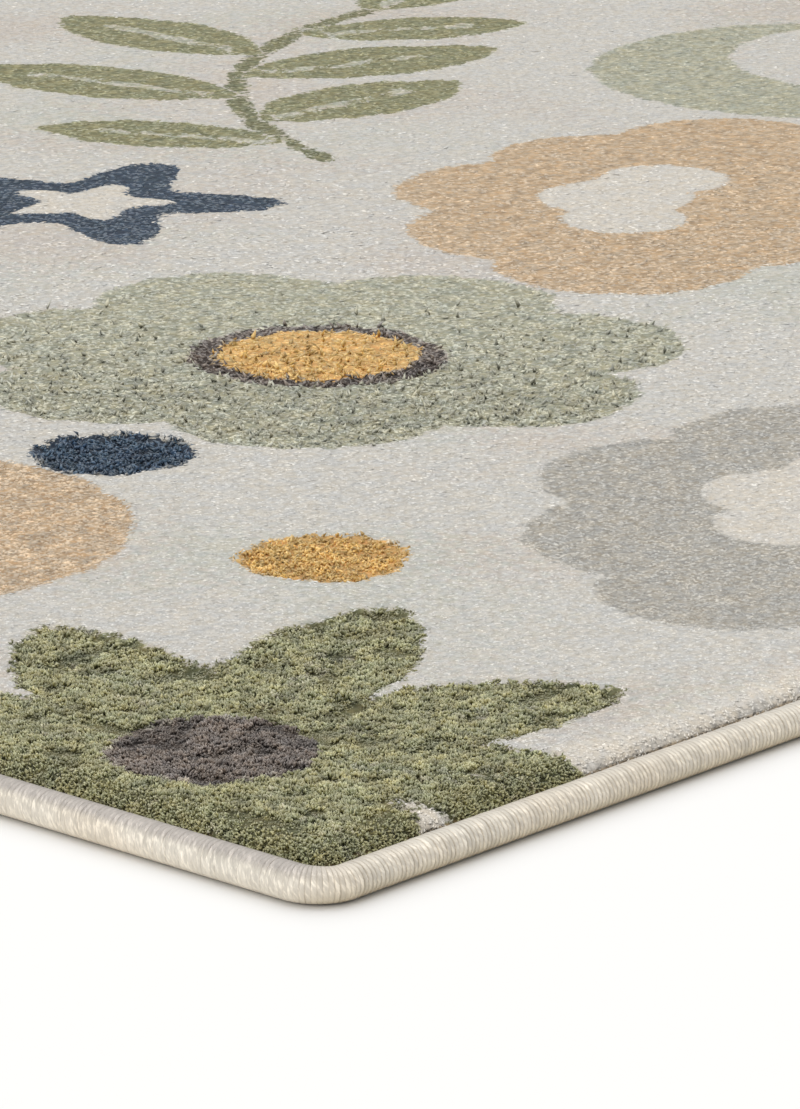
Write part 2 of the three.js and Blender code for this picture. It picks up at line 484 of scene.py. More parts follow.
def design_areas(x, y, kinds=None):
    """For each yarn, the signed distance to its area at each point. A later layer lies over the earlier ones.
    kinds may name a kind for each yarn, and then areas of one kind are joined."""
    kinds = kinds or {name: name for name in YARNS}
    far = 30.0
    waver = 1.5 * soft_noise(x, y, 8, 41) + 1.0 * soft_noise(x, y, 4, 42)
    areas = {kind: np.full(x.shape, far) for kind in kinds.values()}
    for row in MOTIFS:
        reach = row["size"] * 0.75
        near = np.flatnonzero(np.hypot(x - row["at"][0], y - row["at"][1]) < reach)
        along, beside = turned(x[near], y[near], row["at"], row["turn"])
        for yarn, shape in row["draw"](along, beside, row["size"], row["yarns"]):
            shape = shape + waver[near]
            for kind, area in areas.items():
                if kind == kinds[yarn]:
                    area[near] = np.minimum(area[near], shape)
                else:
                    area[near] = np.maximum(area[near], -shape)
    return {name: np.clip(area, -far, far) for name, area in areas.items()}


def paleness_of(x, y, outside=0.8, inside=-0.8):
    """How pale the yarn is, from 0 to 1. It changes between two distances from an area's edge."""
    total = np.ones(np.shape(x))
    for paleness, area in design_areas(x, y, PALENESS).items():
        share = smooth_step(outside, inside, area)
        total = total * (1 - share) + paleness * share
    return total


def own_paleness(areas):
    """How pale each tuft's own yarn is, by the area it stands in."""
    total = np.ones(len(areas["white"]))
    for name, paleness in PALENESS.items():
        total = np.where(areas[name] < 0, paleness, total)
    return total


# Node helpers. A value is a number, a colour, an object or another node's socket.

def feed(tree, node, **inputs):
    """Sets a node's inputs by name, with an underscore for a blank, or by number after an underscore."""
    for name, value in inputs.items():
        socket = node.inputs[int(name[1:])] if name[0] == "_" else node.inputs[name.replace("_", " ")]
        if isinstance(value, bpy.types.NodeSocket):
            tree.links.new(value, socket)
        else:
            socket.default_value = (*value, 1) if socket.type == "RGBA" else value


def add_node(tree, kind, look=None, **inputs):
    """Adds a node with the settings in look, and feeds it."""
    node = tree.nodes.new(kind)
    for name, value in (look or {}).items():
        setattr(node, name, value)
    feed(tree, node, **inputs)
    return node


def wire(tree, kind, output=0, look=None, **inputs):
    """Adds a node, feeds it and returns one of its outputs."""
    return add_node(tree, kind, look, **inputs).outputs[output]


def sum_of(tree, first, second):
    return wire(tree, "ShaderNodeMath", look={"operation": "ADD"}, _0=first, _1=second)


def product(tree, *factors):
    total = factors[0]
    for factor in factors[1:]:
        total = wire(tree, "ShaderNodeMath", look={"operation": "MULTIPLY"}, _0=total, _1=factor)
    return total


def product_plus(tree, first, second, more):
    return wire(tree, "ShaderNodeMath", look={"operation": "MULTIPLY_ADD"}, _0=first, _1=second, _2=more)


def less(tree, first, second):
    return wire(tree, "ShaderNodeMath", look={"operation": "SUBTRACT"}, _0=first, _1=second)


def attribute(tree, name):
    return wire(tree, "ShaderNodeAttribute", "Fac", {"attribute_name": name})


def object_place(tree):
    return wire(tree, "ShaderNodeTexCoord", "Object")


def noise(tree, where, size, detail=2.0, roughness=0.5):
    """Noise whose bumps are about size millimetres across, from 0 to 1."""
    return wire(tree, "ShaderNodeTexNoise", "Fac", Vector=where, Scale=1.0 / (size * MM), Detail=detail,
                Roughness=roughness)


def spread_to(tree, value, low, high, to_low=0.0, to_high=1.0):
    return wire(tree, "ShaderNodeMapRange", _0=value, _1=low, _2=high, _3=to_low, _4=to_high)


def blend_colour(tree, share, first, second, mode="MIX"):
    return wire(tree, "ShaderNodeMix", 2, {"data_type": "RGBA", "blend_type": mode},
                _0=share, _6=first, _7=second)


def shaded(tree, colour, tone):
    """A colour made lighter or darker by a tone, where 1 leaves it as it is."""
    grey = wire(tree, "ShaderNodeCombineColor", Red=tone, Green=tone, Blue=tone)
    return blend_colour(tree, 1.0, colour, grey, "MULTIPLY")


def lightness_of(tree, colour):
    return wire(tree, "ShaderNodeRGBToBW", Color=colour)


def bumpy(tree, strength, depth, height, **more):
    """A normal bent by a height. depth is in millimetres."""
    return wire(tree, "ShaderNodeBump", Strength=strength, Distance=depth * MM, Height=height, **more)


def new_material(name):
    material = bpy.data.materials.new(name)
    material.use_nodes = True
    tree = material.node_tree
    return material, tree, tree.nodes["Principled BSDF"]


# Materials

def yarn_colour(tree, where, frizz):
    """The woven design's colour, and how pale its yarn is: mottled cream ground, and each yarn where its area
    says. frizz is how far, in millimetres, single fibres stray over the edge of an area."""
    fine = spread_to(tree, noise(tree, where, 3.5), 0.3, 0.7, -0.10, 0.10)
    mist = spread_to(tree, less(tree, noise(tree, where, 130), fine), 0.54, 0.72, 0.0, 0.75)
    blush = spread_to(tree, sum_of(tree, noise(tree, where, 95), fine), 0.49, 0.66, 0.0, 0.75)
    colour = blend_colour(tree, mist, GROUND_CREAM, GROUND_MIST)
    colour = blend_colour(tree, blush, colour, GROUND_BLUSH)
    # Partly painted light: beside the binding the ground is blended towards a paler, warmer cream, which
    # lifts the shade on the pile's side.
    colour = blend_colour(tree, product(tree, attribute(tree, "edge"), 0.85), colour, RIM_BLUSH_AND_LIGHT)
    stray = spread_to(tree, noise(tree, where, 2.4, 3, 0.6), 0.25, 0.75, -frizz, frizz)
    paleness = 1.0
    for name, yarn in YARNS.items():
        share = spread_to(tree, sum_of(tree, attribute(tree, "area_" + name), stray), 0.5, -0.5)
        colour = blend_colour(tree, share, colour, yarn)
        paleness = product_plus(tree, share, less(tree, PALENESS[name], paleness), paleness)
    tint = spread_to(tree, sum_of(tree, noise(tree, where, 10), noise(tree, where, 2.4, 1)), 0.75, 1.25)
    tint = blend_colour(tree, tint, COOLER, WARMER)
    colour = blend_colour(tree, by_paleness(tree, paleness, 1.0, 0.34), colour, tint, "MULTIPLY")
    clump = spread_to(tree, noise(tree, where, 5, 3, 0.6), 0.36, 0.64, -1.0, 1.0)
    clump = product_plus(tree, clump, spread_to(tree, paleness, 0.6, 1.0, 0.15, 0.035), 1.0)
    return shaded(tree, colour, clump), paleness


def by_paleness(tree, paleness, on_dark, on_pale, palest=1.0):
    """A value that goes from dark yarn's to pale yarn's."""
    return spread_to(tree, paleness, 0.0, palest, on_dark, on_pale)


def deepened(tree, colour, deeper):
    """Yarn colour in the shade between tufts: light that has bounced from yarn to yarn is deeper in colour.
    The darkest yarn has little light to lose."""
    held = spread_to(tree, lightness_of(tree, colour), 0.05, 0.15, 0.45, 1.0)
    return wire(tree, "ShaderNodeGamma", Color=colour, Gamma=product_plus(tree, deeper, held, 1.0))


def softened_normal(tree, paleness):
    """Pale yarn lets light through and so shows less of each curl's own shading: its normals lean upwards."""
    own = wire(tree, "ShaderNodeNewGeometry", "Normal")
    mixed = wire(tree, "ShaderNodeMix", 1, {"data_type": "VECTOR"},
                 _0=by_paleness(tree, paleness, 0.20, 0.80), _4=own, _5=(0, 0, 1))
    return wire(tree, "ShaderNodeVectorMath", look={"operation": "NORMALIZE"}, _0=mixed)


def make_bed_material():
    """The pile between and beyond the tufts: tuft heads in rows, with shade between them."""
    material, tree, shader = new_material("pile_bed")
    where = object_place(tree)
    colour, paleness = yarn_colour(tree, where, 2.4)
    heads = wire(tree, "ShaderNodeTexVoronoi", "Distance", {"feature": "SMOOTH_F1"}, Vector=where,
                 Scale=1.0 / (BED_HEAD * MM), Smoothness=0.35)
    curls = noise(tree, where, 0.9, 3, 0.65)
    hollow = spread_to(tree, heads, 0.30, 0.75)
    # Painted shade: the bed is deeper and darker in colour where tufts cover it and in the hollows between
    # tuft heads.
    deeper = product_plus(tree, attribute(tree, "cover"), 0.75, product(tree, hollow, 0.45))
    colour = deepened(tree, colour, product(tree, deeper, by_paleness(tree, paleness, 1.0, 0.72)))
    # Painted light and shade: the bed of dark yarn is made greyer, for the sheen of tufts, and darker, for
    # their shade.
    colour = wire(tree, "ShaderNodeHueSaturation", Color=colour,
                  Saturation=by_paleness(tree, paleness, 0.74, 1.0, 0.9),
                  Value=by_paleness(tree, paleness, 0.88, 0.95, 0.4))
    colour = shaded(tree, colour, spread_to(tree, curls, 0.30, 0.72, 0.87, 1.10))
    colour = blend_colour(tree, attribute(tree, "bare"), colour, FOUNDATION_TAN)
    height = product(tree, product_plus(tree, hollow, -0.8, curls), by_paleness(tree, paleness, 1.0, 0.90))
    normal = bumpy(tree, 0.7, 0.9, height, Normal=softened_normal(tree, paleness))
    feed(tree, shader, Base_Color=colour, Normal=normal, Roughness=0.85, Specular_IOR_Level=0.15,
         Sheen_Weight=0.06, Sheen_Roughness=0.5)
    return material


def make_tuft_material():
    """Curled yarn ends: each has a shade of its own, painted shade makes it darker and deeper in colour
    towards its root, and a painted highlight makes its tip lighter and paler.
    """
    material, tree, shader = new_material("tuft_yarn")
    where = object_place(tree)
    colour, paleness = yarn_colour(tree, where, 0.3)
    rise = attribute(tree, "rise")
    deeper = spread_to(tree, rise, 0.1, 0.9, 1.0, -0.10)
    colour = deepened(tree, colour, product(tree, deeper, by_paleness(tree, paleness, 1.0, 0.30)))
    # Painted highlight: the tips of all but the palest yarn are blended towards a pale colour.
    tip_highlight = product(tree, spread_to(tree, lightness_of(tree, colour), 0.05, 0.30, 0.0, 0.24),
                       spread_to(tree, rise, 0.60, 1.0), by_paleness(tree, paleness, 1.0, 0.2, 0.5))
    colour = blend_colour(tree, tip_highlight, colour, TIP_HIGHLIGHT)
    fibres = noise(tree, where, 0.34, 2, 0.6)
    fleck = spread_to(tree, fibres, 0.3, 0.7, 0.90, 1.10)
    # Painted highlight: the tips are also made lighter.
    lit_tip = spread_to(tree, rise, 0.60, 1.0, 1.0, 1.20)
    colour = shaded(tree, colour, product(tree, fleck, attribute(tree, "shade"), lit_tip))
    normal = bumpy(tree, 0.3, 0.2, fibres, Normal=softened_normal(tree, paleness))
    feed(tree, shader, Base_Color=colour, Normal=normal, Roughness=0.42, Specular_IOR_Level=0.5,
         Sheen_Weight=0.15, Sheen_Roughness=0.45)
    return material


def make_back_material():
    """The plain woven back: warp and weft in tan."""
    material, tree, shader = new_material("woven_back")
    where = object_place(tree)
    weave = []
    for turn in (0.0, math.pi / 2):
        mapped = wire(tree, "ShaderNodeMapping", Vector=where, Rotation=(0, 0, turn))
        weave.append(wire(tree, "ShaderNodeTexWave", "Fac", {"wave_type": "BANDS", "bands_direction": "X"},
                          Vector=mapped, Scale=1.0 / (BACK_WEAVE * MM) / 3.1416, Distortion=1.2))
    height = product(tree, *weave)
    slub = spread_to(tree, noise(tree, where, 9, 3), 0.3, 0.7, 0.8, 1.12)
    # Painted shade: the weave is darker where its threads lie low.
    tone = product(tree, slub, spread_to(tree, height, 0.0, 0.8, 0.72, 1.05))
    feed(tree, shader, Base_Color=shaded(tree, FOUNDATION_TAN, tone), Normal=bumpy(tree, 0.7, 0.8, height),
         Roughness=0.9)
    return material


def make_binding_material():
    """Satin serging yarn: fine filaments along each wrap, and each wrap a little lighter or darker. Its
    colour also holds painted light and shade: satin highlights, shade in the grooves, low down, at the foot
    and on the short sides' top, and light on the sides and shoulder. along runs over a wrap from 0 low on the
    outside to 1 at the carpet."""
    material, tree, shader = new_material("serging_yarn")
    along = attribute(tree, "along")
    shade = attribute(tree, "shade")
    short_side = attribute(tree, "short_side")

    def by_side(on_long, on_short):
        """A value that differs between the rug's long sides and its short sides."""
        return spread_to(tree, short_side, 0.0, 1.0, on_long, on_short)

    def band(none_at, full_at):
        """How far along lies past none_at towards full_at, from 0 to 1."""
        return spread_to(tree, along, none_at, full_at)

    twisted = product_plus(tree, along, 5.0, attribute(tree, "across"))
    filaments = wire(tree, "ShaderNodeCombineXYZ", _0=product(tree, twisted, 1.7),
                     _1=product(tree, along, 7.0), _2=product(tree, shade, 91.0))
    line = wire(tree, "ShaderNodeTexNoise", "Fac", Vector=filaments, Scale=1.0, Detail=3.0, Roughness=0.6)
    warm = spread_to(tree, noise(tree, object_place(tree), 26), 0.35, 0.65)
    colour = blend_colour(tree, warm, BINDING_CREAM, BINDING_WARM)
    # Painted shade: low on the outside, most of all on the long sides, the yarn is darker and warmer, as in
    # shade and warm bounced light.
    colour = blend_colour(tree, product(tree, band(0.33, 0.075), by_side(1.0, 0.25)), colour, BINDING_LOW_SHADE)
    # Painted shadow: the very bottom of the wraps on the long sides, and the core's underside, go nearly
    # black where the binding meets the floor.
    contact_shadow = wire(tree, "ShaderNodeMath", look={"operation": "MAXIMUM"},
                _0=product(tree, band(0.075, 0.030), by_side(1.0, 0.2)), _1=band(0.0, -0.03))
    colour = blend_colour(tree, contact_shadow, colour, BINDING_CONTACT_SHADOW)
    # Painted shade: the top of the short sides is a darker, greyer mauve, where the satin shows no highlight.
    colour = blend_colour(tree, product(tree, band(0.38, 0.48), short_side), colour, BINDING_SHADED_TOP)
    on_side = product(tree, band(0.12, 0.26), band(0.60, 0.47))
    # Painted highlights: bright dashes of satin sheen along the filaments, strongest on the outer side, with
    # slightly darker bits between.
    bright_sheen = spread_to(tree, line, 0.51, 0.63, 0.0, 0.34)
    sheen_dash = sum_of(tree, bright_sheen, spread_to(tree, line, 0.34, 0.50, -0.12, 0.0))
    sheen_dash = product(tree, sheen_dash, spread_to(tree, on_side, 0.0, 1.0, 0.3, 1.0), by_side(0.9, 1.15))
    # Painted light and shade: lighter on the short sides' outer side and low down, and on the long sides'
    # shoulder; darker on the top towards the carpet.
    side_light = product(tree, band(0.50, 0.40), short_side)
    shaded_far_top = product(tree, band(0.50, 0.66), -0.20)
    shoulder = product(tree, band(0.20, 0.38), band(0.60, 0.48), by_side(0.16, 0.0))
    low_light = product_plus(tree, product(tree, band(0.22, 0.08), short_side), 0.16, shoulder)
    tone = product(tree, shade, sum_of(tree, sheen_dash, 1.0), spread_to(tree, side_light, 0.0, 1.0, 1.0, 1.10),
                   sum_of(tree, shaded_far_top, 1.0), sum_of(tree, low_light, 1.0))
    # Painted shade: darker in the grooves between wraps, most of all on the outer side of the long sides.
    groove_shade = less(tree, 1.0, spread_to(tree, attribute(tree, "crest"), 0.15, 0.90))
    groove_shade = product(tree, groove_shade, spread_to(tree, on_side, 0.0, 1.0, 0.45, 1.0), by_side(1.0, 0.17))
    colour = shaded(tree, blend_colour(tree, groove_shade, colour, BINDING_GROOVE_SHADE), tone)
    feed(tree, shader, Base_Color=colour, Normal=bumpy(tree, 0.6, 0.14, line),
         Roughness=spread_to(tree, along, 0.39, 0.56, 0.34, 0.58), Metallic=0.12, Specular_IOR_Level=0.5,
         Sheen_Weight=0.08)
    return material


# Where the tufts stand close, and where the bed alone shows them

# Distances ahead of the camera, and the margin over which tufts thin out beside the view
NEAREST_ROW = 1300.0
FARTHEST_ROW = 2300.0
THINNING = 175.0
VIEW_MARGIN = 32

# Tufts for each square millimetre: the most, what hides the bed, the least in view, and the least anywhere
DENSEST = 5.6
COVERING = 1.1
IN_VIEW_LEAST = 0.075
SPARSEST = 0.005


def in_view_share(x, y):
    """1 where the photograph looks, and falling to 0 beside it and far off."""
    ahead, across = ahead_and_across(x, y)
    half_view = FRAME_WIDE / 2 / (CAMERA_LENS / SENSOR * FRAME_HIGH) * ahead * 1.03
    beside = np.abs(across) - half_view
    beyond = ahead - FARTHEST_ROW
    return 1 - smooth_step(0, VIEW_MARGIN, np.maximum(beside, beyond))


def tuft_density(x, y):
    """Tufts for each square millimetre."""
    ahead, _ = ahead_and_across(x, y)
    close = np.maximum(IN_VIEW_LEAST, DENSEST * np.exp(-np.maximum(0, ahead - NEAREST_ROW) / THINNING))
    return SPARSEST + (close - SPARSEST) * in_view_share(x, y)


def cover_of(x, y):
    """How far tufts of dark yarn hide the bed, from 0 to 1."""
    return np.minimum(1, tuft_density(x, y) / COVERING)


# The carpet's own surface

# The side of the carpet, from its underside round the tongue in the binding and up to the level pile
RIM_PROFILE = [
    {"inset": 10.4, "height": 0.0},
    {"inset": 9.3, "height": 1.2},
    {"inset": 7.0, "height": 1.3},
    {"inset": 7.0, "height": 3.1},
    {"inset": 9.9, "height": 3.4},
    {"inset": 9.8, "height": 4.6},
    {"inset": 9.8, "height": 5.6},
    {"inset": 10.1, "height": 6.6},
    {"inset": 10.9, "height": 7.6},
    {"inset": 12.2, "height": 8.5},
    {"inset": 14.0, "height": 9.2},
    {"inset": 16.4, "height": 9.7},
    {"inset": 19.0, "height": 10.0},
    {"inset": 22.0, "height": 10.2},
]

# Heights between which the bare foundation gives way to pile
BARE_BELOW = 5.7
BARE_GONE_AT = 6.6

# The level pile's grid, and how far it sinks under close tufts of dark yarn
FINEST_STEP = 3.2
COARSEST_STEP = 6.4
STEP_GROWTH = 1.012
CORNER_STEPS = 6
BED_SINK = 1.6

# Each corner's signs, and the share of a turn at which its arc starts, from the left front one anticlockwise
CORNERS = [(-1, -1, 0.5), (1, -1, 0.75), (1, 1, 0.0), (-1, 1, 0.25)]


def graded_lines(half, fine_reach):
    """Places from -half to half, close together at the photographed end."""
    places = [-half]
    step = FINEST_STEP
    while places[-1] < half:
        if places[-1] + half > fine_reach:
            step = min(COARSEST_STEP, step * STEP_GROWTH)
        places.append(places[-1] + step)
    lines = np.array(places)
    return -half + (lines + half) * 2 * half / (lines[-1] + half)


def lap_stations(along_x, along_y, corner_steps):
    """One lap round the rug, anticlockwise from the left front corner. Each station has its corner's signs,
    an angle on the corner's arc, and how far it has slid along the straight side after it."""
    shares_x = (along_x[1:-1] - along_x[0]) / (along_x[-1] - along_x[0])
    shares_y = (along_y[1:-1] - along_y[0]) / (along_y[-1] - along_y[0])
    sides = [shares_x, shares_y, 1 - shares_x[::-1], 1 - shares_y[::-1]]
    rows = []
    for (sign_x, sign_y, start), shares in zip(CORNERS, sides):
        for step in range(corner_steps + 1):
            rows.append((sign_x, sign_y, TURN * (start + 0.25 * step / corner_steps), 0.0))
        for share in shares:
            rows.append((sign_x, sign_y, TURN * (start + 0.25), share))
    return np.array(rows)


def ring_at(stations, inset):
    """The points of a lap at an inset, on the straight-sided rug."""
    radius = max(0.0, CORNER_RADIUS - inset)
    centre_x = HALF_LENGTH - max(CORNER_RADIUS, inset)
    centre_y = HALF_WIDTH - max(CORNER_RADIUS, inset)
    sign_x, sign_y, angle, slide = stations.T
    x = sign_x * centre_x + radius * np.cos(angle) - np.sin(angle) * 2 * centre_x * slide
    y = sign_y * centre_y + radius * np.sin(angle) + np.cos(angle) * 2 * centre_y * slide
    return x, y


def lap_faces(lap, steps, closed=False):
    """The faces between laps of points, step after step. A closed one goes on to the first lap again."""
    here = np.arange(steps * lap).reshape(steps, lap)
    after = np.roll(here, -1, axis=1)
    above = np.full(steps, lap)
    if closed:
        above[-1] -= steps * lap
    above = above[:, None]
    return np.stack([here, after, after + above, here + above], axis=-1).reshape(-1, 4).tolist()


def bed_height(x, y):
    """The top of the pile's bed. It sinks where tufts stand on it, less under pale yarn, and is lumpy as real
    pile is."""
    cover = cover_of(x, y)
    paleness = paleness_of(x, y, 0.3, -2.7)
    lumps = 0.26 * soft_noise(x, y, 17, 5) + 0.22 * soft_noise(x, y, 7.5, 6) + 0.16 * soft_noise(x, y, 4.1, 7)
    return pile_lift(x, y) + lumps * (1 - 0.5 * paleness) - BED_SINK * cover * (1 - paleness)


def make_carpet(bed_material, back_material):
    """The carpet: laps up its side from the rim profile, a grid of level pile inside the last lap, and one
    flat face underneath."""
    along_x = graded_lines(HALF_LENGTH - PLATEAU_INSET, 260)
    along_y = graded_lines(HALF_WIDTH - PLATEAU_INSET, 230)
    stations = lap_stations(along_x, along_y, CORNER_STEPS)
    lap = len(stations)
    places = []
    for row in RIM_PROFILE:
        x, y = ring_at(stations, row["inset"])
        rise = np.clip((row["height"] - FOUNDATION_TOP) / (PILE_TOP - FOUNDATION_TOP), 0, 1)
        places.append(np.stack([x, y, row["height"] + rise * bed_height(x, y)]))
    x, y = (grid.ravel() for grid in np.meshgrid(along_x[1:-1], along_y[1:-1], indexing="ij"))
    places.append(np.stack([x, y, RIM_PROFILE[-1]["height"] + bed_height(x, y)]))
    x, y, z = np.concatenate(places, axis=1)

    # The level pile's grid takes its border from the last lap and its inside from the points after it.
    inner = (len(along_x) - 2, len(along_y) - 2)
    index = np.zeros((len(along_x), len(along_y)), int)
    index[1:-1, 1:-1] = lap * len(RIM_PROFILE) + np.arange(inner[0] * inner[1]).reshape(inner)
    last_lap = lap * (len(RIM_PROFILE) - 1)
    starts = np.flatnonzero(stations[:, 3] == 0).reshape(4, CORNER_STEPS + 1)
    side_at = [last_lap + np.arange(group[-1] + 1, group[-1] + 1 + count)
               for group, count in zip(starts, inner * 2)]
    index[0, 0], index[-1, 0], index[-1, -1], index[0, -1] = last_lap + starts[:, 0]
    index[1:-1, 0] = side_at[0]
    index[-1, 1:-1] = side_at[1]
    index[1:-1, -1] = side_at[2][::-1]
    index[0, 1:-1] = side_at[3][::-1]
    quads = np.stack([index[:-1, :-1], index[1:, :-1], index[1:, 1:], index[:-1, 1:]], axis=-1).reshape(-1, 4)

    faces = lap_faces(lap, len(RIM_PROFILE) - 1) + quads.tolist()
    underside = list(range(lap))[::-1]
    mesh = new_mesh("pile_bed", np.stack([*wandered(x, y), z], axis=1), faces + [underside])
    for name, area in design_areas(x, y).items():
        set_values(mesh, "area_" + name, area)
    set_values(mesh, "cover", cover_of(x, y) * (1 - paleness_of(x, y)))
    set_values(mesh, "edge", rim_blush_and_light_share(x, y))
    on_wall = inset_of(x, y) < 13.0
    set_values(mesh, "bare", np.where(on_wall, 1 - smooth_step(BARE_BELOW, BARE_GONE_AT, z), 0))
    piece = new_object("pile_bed", mesh, bed_material, back_material)
    mesh.polygons[len(faces)].material_index = 1
    mesh.polygons[len(faces)].use_smooth = False
    weld_close_points(mesh)
    return piece


def weld_close_points(mesh):
    """Merges the points that lie together at a sharp corner, where an arc has shrunk to nothing."""
    work = bmesh.new()
    work.from_mesh(mesh)
    bmesh.ops.remove_doubles(work, verts=work.verts, dist=0.01 * MM)
    work.to_mesh(mesh)
    work.free()
    mesh.update()


# Repeated yarn pieces, placed by Geometry Nodes

def named(tree, label, kind="FLOAT_VECTOR"):
    """A point's own value of a name."""
    return wire(tree, "GeometryNodeInputNamedAttribute", look={"data_type": kind}, Name=label)


def random_value(tree, low, high, seed):
    """A number for each point, between low and high."""
    return wire(tree, "FunctionNodeRandomValue", 1, {"data_type": "FLOAT"}, _2=low, _3=high, Seed=seed)


def grown_turn(tree, entry):
    """Along the point's own direction, and turned at random about it."""
    align = wire(tree, "FunctionNodeAlignRotationToVector", look={"axis": "Z"}, Vector=named(tree, "grows"))
    angle = random_value(tree, 0.0, entry["Turn"], entry["Seed"])
    spin = wire(tree, "FunctionNodeAxisAngleToRotation", Angle=angle)
    return wire(tree, "FunctionNodeRotateRotation", look={"rotation_space": "LOCAL"}, _0=align, _1=spin)


def wound_turn(tree, entry):
    """Square to the rug's edge, with a small wobble."""
    wobble = random_value(tree, product(tree, entry["Wobble"], -1.0), entry["Wobble"], entry["Seed"])
    heading = wire(tree, "ShaderNodeCombineXYZ", _2=sum_of(tree, named(tree, "faces", "FLOAT"), wobble))
    return wire(tree, "FunctionNodeEulerToRotation", _0=heading)


def placing_tree(name, templates, material, labels, sizes, turn, seed_shift):
    """A Geometry Nodes tree that stands one of the templates on each point. labels are its inputs, sizes the
    ones that scale each axis on top of the point's own size, and turn makes the rotation. seed_shift sets the
    choice of template apart from the other random values."""
    tree = bpy.data.node_groups.new(name, "GeometryNodeTree")
    face = tree.interface
    face.new_socket("Geometry", in_out="INPUT", socket_type="NodeSocketGeometry")
    inputs = {}
    for label in labels:
        kind = "NodeSocketInt" if label == "Seed" else "NodeSocketFloat"
        inputs[label] = face.new_socket(label, in_out="INPUT", socket_type=kind).identifier
    face.new_socket("Geometry", in_out="OUTPUT", socket_type="NodeSocketGeometry")
    entry = add_node(tree, "NodeGroupInput").outputs
    points = wire(tree, "GeometryNodeMeshToPoints", Mesh=entry["Geometry"])
    kinds = add_node(tree, "GeometryNodeJoinGeometry")
    for template in templates:
        one = wire(tree, "GeometryNodeObjectInfo", "Geometry", Object=template, As_Instance=True)
        feed(tree, kinds, _0=one)
    own_size = add_node(tree, "ShaderNodeSeparateXYZ", _0=named(tree, "size")).outputs
    scaled = [product(tree, own, entry[label]) if label else own for own, label in zip(own_size, sizes)]
    pick = wire(tree, "FunctionNodeRandomValue", 2, {"data_type": "INT"}, _4=0, _5=len(templates) - 1,
                Seed=sum_of(tree, entry["Seed"], seed_shift))
    standing = wire(tree, "GeometryNodeInstanceOnPoints", Points=points, Instance=kinds.outputs[0],
                    Pick_Instance=True, Instance_Index=pick, Rotation=turn(tree, entry),
                    Scale=wire(tree, "ShaderNodeCombineXYZ", _0=scaled[0], _1=scaled[1], _2=scaled[2]))
    whole = wire(tree, "GeometryNodeRealizeInstances", _0=standing)
    finished = wire(tree, "GeometryNodeSetMaterial", Geometry=whole, Material=material)
    add_node(tree, "NodeGroupOutput", _0=finished)
    return tree, inputs


def place_pieces(name, points, values, tree, inputs, material, **settings):
    """Stands yarn pieces on the points and returns them as one plain mesh object. The points' values go on to
    the pieces, apart from those that only place them."""
    holder = new_object(name + "_points", new_mesh(name + "_points", points, []))
    for label, numbers in values.items():
        set_values(holder.data, label, numbers)
    modifier = holder.modifiers.new("placing", "NODES")
    modifier.node_group = tree
    for label, value in settings.items():
        modifier[inputs[label]] = value
    shown = holder.evaluated_get(bpy.context.evaluated_depsgraph_get())
    made = bpy.data.meshes.new_from_object(shown)
    holder.modifiers.remove(modifier)
    bpy.data.objects.remove(holder)
    for label in ("grows", "faces", "size"):
        if label in made.attributes:
            made.attributes.remove(made.attributes[label])
    made.name = name
    made.materials.clear()
    return new_object(name, made, material)


# Tufts

# The templates' own size, and how many faces a piece of pile may have
CURL_HEIGHT = 2.2
CURL_THICKNESS = 0.72
FACES_IN_A_TUFT = 4
MOST_FACES_IN_A_PIECE = 185000


def spindle_template(name, root, tip, corners, rise):
    """A thin closed piece of yarn with four faces: pointed at both ends, with two corners in its middle."""
    points = np.array([root, *corners, tip], float)
    middle = points.mean(axis=0)
    faces = []
    for face in ((0, 1, 2), (0, 1, 3), (0, 2, 3), (1, 2, 3)):
        a, b, c = points[list(face)]
        outwards = np.dot(np.cross(b - a, c - a), a - middle) > 0
        faces.append(face if outwards else face[::-1])
    mesh = new_mesh(name, points, faces)
    set_values(mesh, "rise", rise)
    return new_object(name, mesh)


def curl_template(name, root, middle, tip, thickness=CURL_THICKNESS):
    """A curled yarn end, in millimetres before it is sized. It bends from root to tip through its middle."""
    x, y, z = middle
    corners = [(x, y - thickness / 2, z), (x, y + thickness / 2, z)]
    top = max(z, tip[2])
    rise = [root[2] / top, z / top * 0.9, z / top * 0.9, tip[2] / top]
    return spindle_template(name, root, tip, corners, rise)


def ridge_template(name, reach, across, middle=0.0):
    """A strand that lies half sunk in the pile, so that only its rounded back shows."""
    corners = [(middle, across / 2, 1.0), (middle, across, -0.5)]
    return spindle_template(name, (-reach, 0, -0.3), (reach, 0, -0.3), corners, [0.60, 0.85, 0.60, 0.70])


def curl_templates():
    return [
        curl_template("curl_upright", (0, 0, 0), (-0.35, 0.0, 1.35), (0.35, 0.0, 2.20)),
        curl_template("curl_bent", (0, 0, 0), (0.10, 0.05, 1.50), (1.25, 0.10, 2.05)),
        curl_template("curl_hooked", (0, 0, 0.2), (0.45, 0.0, 1.90), (1.60, -0.10, 1.45), 0.66),
        curl_template("curl_looped", (-0.85, 0, 1.0), (0.0, 0.1, 2.10), (0.95, 0.0, 1.25), 0.60),
    ]


def ridge_templates():
    return [
        ridge_template("ridge_straight", 1.15, 0.90, 0.2),
        ridge_template("ridge_bent", 1.00, -1.05),
        ridge_template("ridge_short", 0.80, 0.85, -0.15),
    ]


# Where the roots stand: yarn ends near the camera, a loose grid further off, and how far out the pile goes
YARN_END_PITCH = 2.5
YARN_END_RADIUS = 1.15
FAR_PITCH = 1.15
PILE_EDGE = 11.5

# How deep a tuft starts in the bed, and how high its tip stands before it is varied
ROOT_DEPTH = 0.45
TIP_HEIGHT = 10.85

# The band of tufts on the pile's side: its height, and its most and least tufts for each square millimetre
RIM_BAND = 4.2
RIM_DENSEST = 5.0
RIM_SPARSEST = 0.14


